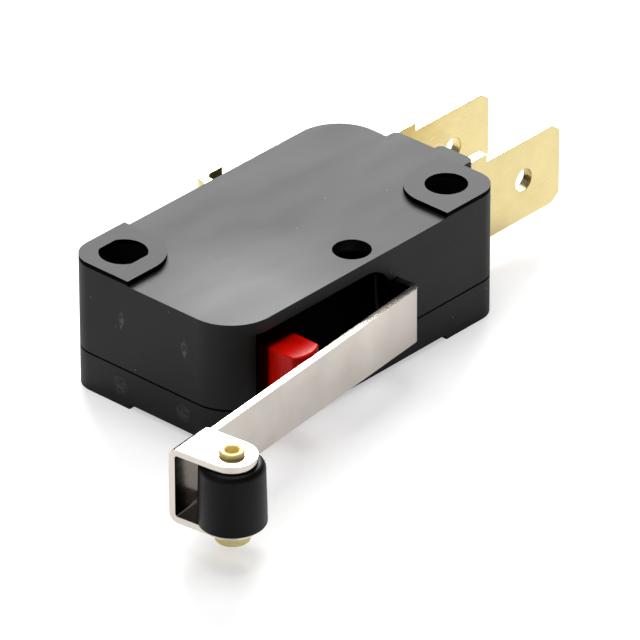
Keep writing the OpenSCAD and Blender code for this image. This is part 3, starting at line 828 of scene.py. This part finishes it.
class MICRO_SWITCH_OT_roller(bpy.types.Operator):
    """Make the roller: a plain cylinder with rounded rims and a bore"""

    bl_idname = "micro_switch.roller"
    bl_label = "Roller"

    def execute(self, context):
        look = context.scene.switch_look
        low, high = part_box("roller")
        inside_cad = 0.002 * MM
        outer, bore = (high.x - low.x) / 2 - inside_cad, 0.76 * MM
        top, foot, draft = 0.5 * MM, 0.12 * MM, 0.09 * MM
        base = low.z + 0.11 * MM
        profile = np.concatenate(
            [
                arc((outer - foot, base + foot), foot, -90, 0, 5),
                arc((outer - draft - top, high.z - top), top, 0, 90, 9),
                arc((bore + foot, high.z - foot), foot, 90, 180, 4),
                arc((bore + foot, base + foot), foot, 180, 270, 4),
            ]
        )
        wheel = revolve("roller_wheel", profile, middle_xy(low, high), turned_nylon(look))
        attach(wheel, "roller")
        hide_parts("roller")
        return {"FINISHED"}


class MICRO_SWITCH_OT_rivet(bpy.types.Operator):
    """Make the hollow roller pin, with its head below and its rolled lip above"""

    bl_idname = "micro_switch.rivet"
    bl_label = "Roller pin"

    def execute(self, context):
        look = context.scene.switch_look
        low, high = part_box("roller_pin")
        ear_low, ear_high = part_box("lever")
        under, seat = look.rivet_head_low, ear_low.z + look.ear_raise
        hole, shank, lip, head = 0.45 * MM, 0.7 * MM, 0.9 * MM, 1.24 * MM
        undercut, edge = 0.02 * MM, 0.12 * MM
        roll = (high.z - ear_high.z) / 2
        profile = np.concatenate(
            [
                [(shank, seat), (shank, ear_high.z), (lip - undercut, ear_high.z)],
                arc((lip - roll, ear_high.z + roll), roll, -15, 90, 9),
                arc((hole + roll, ear_high.z + roll), roll, 90, 180, 7),
                [(hole, (low.z + high.z) / 2)],
                arc((hole + edge, under + edge), edge, 180, 270, 5),
                arc((head - edge, under + edge), edge, -90, 0, 5),
                arc((head - edge, seat - edge), edge, 0, 90, 5),
            ]
        )
        pin = revolve("roller_pin_rivet", profile, middle_xy(low, high), rolled_brass(look))
        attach(pin, "lever")
        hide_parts("roller_pin")
        return {"FINISHED"}


class MICRO_SWITCH_OT_blades(bpy.types.Operator):
    """Dress the three blade terminals as pale stamped brass"""

    bl_idname = "micro_switch.blades"
    bl_label = "Blade terminals"

    def execute(self, context):
        look = context.scene.switch_look
        brass = sheet_metal("stamped_brass", look.blade_colour, 0.9, 0.26, 0.4)
        wider = {"reshape": self.widen_shoulder, "cut": CASE_HIGH.y + 0.2 * MM}
        for node in ("common_terminal", "normally_closed_terminal", "normally_open_terminal"):
            name = node.replace("terminal", "blade")
            changes = wider if node == "common_terminal" else {}
            blade = soft_edged(node, name, look.sheared_edge, brass, **changes)
            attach(blade, "housing")
            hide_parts(node)
        return {"FINISHED"}

    def widen_shoulder(self, points):
        """Carries the common blade's shoulder a little further out on both edges and along its length."""
        look = bpy.context.scene.switch_look
        clear, edge_depth = 0.4 * MM, 0.3 * MM
        cad_end, near = -7.45 * MM, 0.05 * MM
        low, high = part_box("common_terminal")
        middle, half = (low.z + high.z) / 2, (high.z - low.z) / 2
        x, y, z = points.T
        outside = (y > CASE_HIGH.y + clear) & (x < cad_end + near)
        edge = outside & (np.abs(z - middle) > half - edge_depth)
        points[edge, 2] = middle + np.sign(z[edge] - middle) * (half + look.shoulder_more)
        points[outside & (x > cad_end - near), 0] = look.shoulder_end
        return points


class MICRO_SWITCH_OT_inside(bpy.types.Operator):
    """Give the pieces inside the housing their metal finishes"""

    bl_idname = "micro_switch.inside"
    bl_label = "Inner pieces"

    def execute(self, context):
        silver = sheet_metal("silver_contact", "d9dadc", 0.92, 0.2, 0.32)
        copper = sheet_metal("beryllium_copper", "c98f5c", 0.85, 0.26, 0.4)
        steel = sheet_metal("spring_steel", "a9acb0", 0.85, 0.25, 0.4)
        plated = sheet_metal("plated_steel", "c8c3b6", 0.88, 0.28, 0.42)
        finishes = {
            "closed_contact": silver,
            "open_contact": silver,
            "moving_contact": silver,
            "contact_arm": copper,
            "rocker": plated,
            "snap_spring": steel,
        }
        for node, finish in finishes.items():
            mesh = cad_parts[node].data
            mesh.materials.clear()
            mesh.materials.append(finish)
        return {"FINISHED"}


class MICRO_SWITCH_OT_stage(bpy.types.Operator):
    """Set up the pale floor, the soft lights, the world and the camera"""

    bl_idname = "micro_switch.stage"
    bl_label = "Stage"

    def execute(self, context):
        studio = context.scene.studio_look
        self.floor(studio)
        self.world(studio)
        self.lights()
        self.camera(context, studio)
        return {"FINISHED"}

    def floor(self, studio):
        """A flat square of paper, 3 m wide, under the switch."""
        half, level = 1.5, CAD_BOX[0][2]
        mesh = bpy.data.meshes.new("floor")
        corners = [(-half, -half, level), (half, -half, level), (half, half, level), (-half, half, level)]
        mesh.from_pydata(corners, [], [(0, 1, 2, 3)])
        link(mesh, "floor", pale_floor(studio))

    def world(self, studio):
        """Even grey light all round."""
        world = bpy.data.worlds.new("studio")
        bpy.context.scene.world = world
        tree = empty_tree(world)
        sky = add_node(tree, "ShaderNodeBackground", inputs={"Color": WHITE, "Strength": studio.ambient})
        add_node(tree, "ShaderNodeOutputWorld", inputs={"Surface": sky.outputs[0]})

    def lights(self):
        """A large soft box behind the switch, one overhead, and a weak one at the camera's left.

        Each row gives azimuth and elevation in degrees, distance and size in metres, and power in watts.
        """
        aim = (CASE_LOW + CASE_HIGH) / 2
        for name, azimuth, elevation, distance, size, power in (
            ("back_box", 132, 33, 0.42, 0.22, 2.3),
            ("top_box", 132, 82, 0.5, 0.3, 1.2),
            ("left_box", -100, 45, 0.5, 0.35, 0.25),
        ):
            lamp = bpy.data.lights.new(name, "AREA")
            lamp.shape = "SQUARE"
            lamp.size = size
            lamp.energy = power
            holder = new_object(name, lamp)
            away = direction(math.radians(azimuth), math.radians(elevation))
            holder.location = aim + away * distance
            holder.rotation_euler = away.to_track_quat("Z", "Y").to_euler()

    def camera(self, context, studio):
        """A long lens that looks down at the plunger corner."""
        data = bpy.data.cameras.new("camera")
        data.lens = studio.lens
        data.sensor_width = 36
        data.clip_start = 0.01
        data.clip_end = 10
        camera = new_object("camera", data)
        back = direction(studio.azimuth, studio.elevation)
        camera.location = Vector(studio.target) + back * studio.distance
        turn = Quaternion((0, 0, 1), studio.roll)
        camera.rotation_euler = (back.to_track_quat("Z", "Y") @ turn).to_euler()
        context.scene.camera = camera
        context.scene.view_settings.view_transform = "Standard"


class MICRO_SWITCH_PT_panel(bpy.types.Panel):
    """Lists the operators that dress the switch"""

    bl_idname = "MICRO_SWITCH_PT_panel"
    bl_label = "Micro switch"
    bl_space_type = "VIEW_3D"
    bl_region_type = "UI"
    bl_category = "Micro switch"

    def draw(self, context):
        for group in (context.scene.switch_look, context.scene.studio_look):
            for name in group.bl_rna.properties.keys():
                if name not in ("rna_type", "name"):
                    self.layout.prop(group, name)
        for operator in OPERATORS:
            self.layout.operator(operator.bl_idname)


OPERATORS = (
    MICRO_SWITCH_OT_housing,
    MICRO_SWITCH_OT_plunger,
    MICRO_SWITCH_OT_lever,
    MICRO_SWITCH_OT_roller,
    MICRO_SWITCH_OT_rivet,
    MICRO_SWITCH_OT_blades,
    MICRO_SWITCH_OT_inside,
    MICRO_SWITCH_OT_stage,
)
CLASSES = (SwitchLook, StudioLook, *OPERATORS, MICRO_SWITCH_PT_panel)


def register():
    """Registers the classes and hangs the two property groups on the scene."""
    for cls in CLASSES:
        bpy.utils.register_class(cls)
    bpy.types.Scene.switch_look = bpy.props.PointerProperty(type=SwitchLook)
    bpy.types.Scene.studio_look = bpy.props.PointerProperty(type=StudioLook)


def unregister():
    """Takes the property groups and the classes away again."""
    del bpy.types.Scene.studio_look
    del bpy.types.Scene.switch_look
    for cls in reversed(CLASSES):
        bpy.utils.unregister_class(cls)


def main():
    """Makes every piece and the stage."""
    register()
    for operator in OPERATORS:
        group, name = operator.bl_idname.split(".")
        getattr(getattr(bpy.ops, group), name)()


if __name__ == "__main__":
    main()
